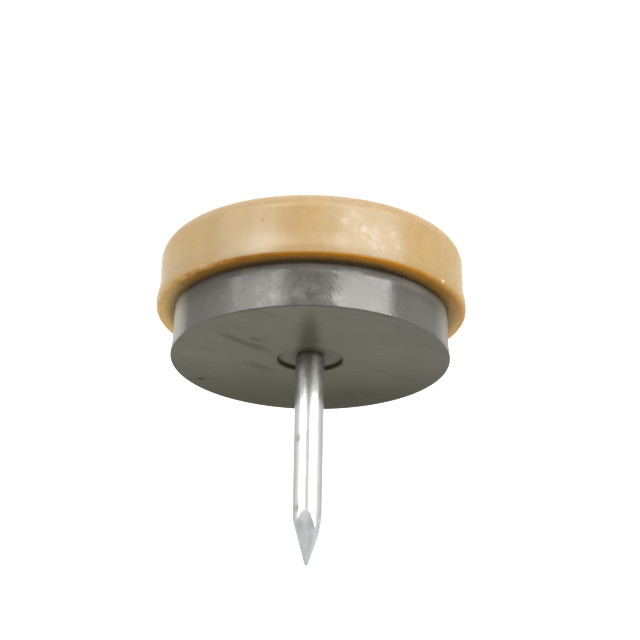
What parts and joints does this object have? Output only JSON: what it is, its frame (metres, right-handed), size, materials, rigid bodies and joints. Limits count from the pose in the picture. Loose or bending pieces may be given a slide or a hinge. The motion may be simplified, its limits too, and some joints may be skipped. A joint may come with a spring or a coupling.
{
  "type": "nail-on furniture glide",
  "caption": "Round nail-on furniture glide: a rounded tan plastic sliding base holding a grey rubber cushion, with a diamond-pointed steel nail that is driven into a leg.",
  "frame": {"origin": "centre of the face that slides on the floor", "axes": "+Z along the nail, from the floor face to the point; the part is round, so +X and +Y are any two directions square to it"},
  "size_m": [0.0286, 0.0286, 0.0311],
  "materials": {
    "tan_plastic": "moulded satin gloss",
    "grey_rubber": "moulded satin",
    "bright_steel": "bright plated wire"
  },
  "bodies": {
    "root": {"glide_base": "tan_plastic", "cushion": "grey_rubber", "nail": "bright_steel"}
  },
  "joints": []
}
